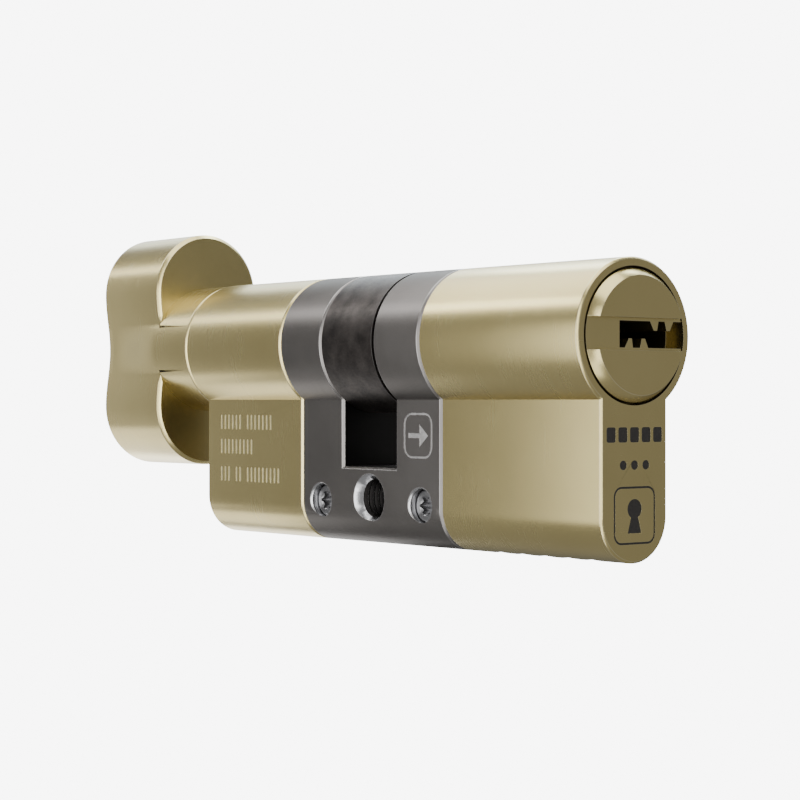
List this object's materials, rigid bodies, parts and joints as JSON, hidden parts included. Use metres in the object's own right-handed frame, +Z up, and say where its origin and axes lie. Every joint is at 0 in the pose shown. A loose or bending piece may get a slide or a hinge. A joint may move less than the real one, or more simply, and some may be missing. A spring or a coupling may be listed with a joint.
{
  "type": "key and turn euro lock cylinder",
  "caption": "Euro-profile lock cylinder with a dimple-key plug on one side, a waisted thumbturn on the other, a dark steel centre bridge and a rotating cam.",
  "frame": {"origin": "where the axis of rotation meets the middle plane of the cam and of the fixing screw's hole", "axes": "+X along the axis of rotation towards the key face, +Z up from the flange's foot to the barrel, +Y to the side that the cam's nose points to at rest"},
  "size_m": [0.0978, 0.0232, 0.0403],
  "materials": {
    "satin_brass": "satin, fine brushed grain",
    "pin_brass": "turned",
    "bridge_steel": "gunmetal satin",
    "cam_steel": "black oxide, slightly mottled",
    "bright_steel": "plain machined",
    "spring_steel": "drawn wire, bright"
  },
  "bodies": {
    "housing": {"external_body": "satin_brass", "internal_body": "satin_brass", "centre_bridge": "bridge_steel", "clamp_screw_external": "bright_steel", "clamp_screw_internal": "bright_steel", "body_drill_pin_upper": "bright_steel", "body_drill_pin_lower": "bright_steel", "chamber_stopper_1": "pin_brass", "chamber_stopper_2": "pin_brass", "chamber_stopper_3": "pin_brass", "chamber_stopper_4": "pin_brass", "chamber_stopper_5": "pin_brass", "pin_spring_1": "spring_steel", "pin_spring_2": "spring_steel", "pin_spring_3": "spring_steel", "pin_spring_4": "spring_steel", "pin_spring_5": "spring_steel"},
    "plug": {"key_plug": "satin_brass", "plug_clip": "spring_steel", "plug_drill_pin_upper": "bright_steel", "plug_drill_pin_lower": "bright_steel"},
    "clutch": {"clutch_dog": "bright_steel", "clutch_spring": "spring_steel"},
    "knob": {"thumbturn_knob": "satin_brass", "turn_spindle": "satin_brass", "spindle_clip": "spring_steel", "knob_set_screw": "bright_steel"},
    "cam_ring": {"cam": "cam_steel"},
    "key_pin_body_1": {"key_pin_1": "pin_brass"},
    "key_pin_body_2": {"key_pin_2": "pin_brass"},
    "key_pin_body_3": {"key_pin_3": "pin_brass"},
    "key_pin_body_4": {"key_pin_4": "pin_brass"},
    "key_pin_body_5": {"key_pin_5": "pin_brass"},
    "driver_body_1": {"driver_pin_1": "spring_steel"},
    "driver_body_2": {"driver_pin_2": "spring_steel"},
    "driver_body_3": {"driver_pin_3": "spring_steel"},
    "driver_body_4": {"driver_pin_4": "spring_steel"},
    "driver_body_5": {"driver_pin_5": "spring_steel"}
  },
  "joints": [
    {"name": "knob_spin", "type": "hinge", "parent": "housing", "child": "knob", "pos_m": [-0.0425, 0, 0], "axis": [1, 0, 0], "continuous": true},
    {"name": "cam_spin", "type": "hinge", "parent": "housing", "child": "cam_ring", "pos_m": [0, 0, 0], "axis": [1, 0, 0], "continuous": true},
    {"name": "key_plug_spin", "type": "hinge", "parent": "housing", "child": "plug", "pos_m": [0.04, 0, 0], "axis": [1, 0, 0], "continuous": true},
    {"name": "clutch_slide", "type": "slide", "parent": "plug", "child": "clutch", "axis": [-1, 0, 0], "range_m": [0, 0.0024], "stiffness_N_per_m": 60},
    {"name": "pin_driver_1", "type": "slide", "parent": "housing", "child": "driver_body_1", "axis": [0, 0, 1], "range_m": [-0.0015, 0], "stiffness_N_per_m": 60, "deforming": ["pin_spring_1"]},
    {"name": "pin_key_1", "type": "slide", "parent": "plug", "child": "key_pin_body_1", "axis": [0, 0, 1], "range_m": [0, 0.0012]},
    {"name": "pin_driver_2", "type": "slide", "parent": "housing", "child": "driver_body_2", "axis": [0, 0, 1], "range_m": [-0.0015, 0], "stiffness_N_per_m": 60, "deforming": ["pin_spring_2"]},
    {"name": "pin_key_2", "type": "slide", "parent": "plug", "child": "key_pin_body_2", "axis": [0, 0, 1], "range_m": [0, 0.0012]},
    {"name": "pin_driver_3", "type": "slide", "parent": "housing", "child": "driver_body_3", "axis": [0, 0, 1], "range_m": [-0.0015, 0], "stiffness_N_per_m": 60, "deforming": ["pin_spring_3"]},
    {"name": "pin_key_3", "type": "slide", "parent": "plug", "child": "key_pin_body_3", "axis": [0, 0, 1], "range_m": [0, 0.0012]},
    {"name": "pin_driver_4", "type": "slide", "parent": "housing", "child": "driver_body_4", "axis": [0, 0, 1], "range_m": [-0.0015, 0], "stiffness_N_per_m": 60, "deforming": ["pin_spring_4"]},
    {"name": "pin_key_4", "type": "slide", "parent": "plug", "child": "key_pin_body_4", "axis": [0, 0, 1], "range_m": [0, 0.0012]},
    {"name": "pin_driver_5", "type": "slide", "parent": "housing", "child": "driver_body_5", "axis": [0, 0, 1], "range_m": [-0.0015, 0], "stiffness_N_per_m": 60, "deforming": ["pin_spring_5"]},
    {"name": "pin_key_5", "type": "slide", "parent": "plug", "child": "key_pin_body_5", "axis": [0, 0, 1], "range_m": [0, 0.0012]}
  ],
  "couplings": [
    {"joint": "cam_spin", "follows": "knob_spin", "ratio": 1}
  ]
}
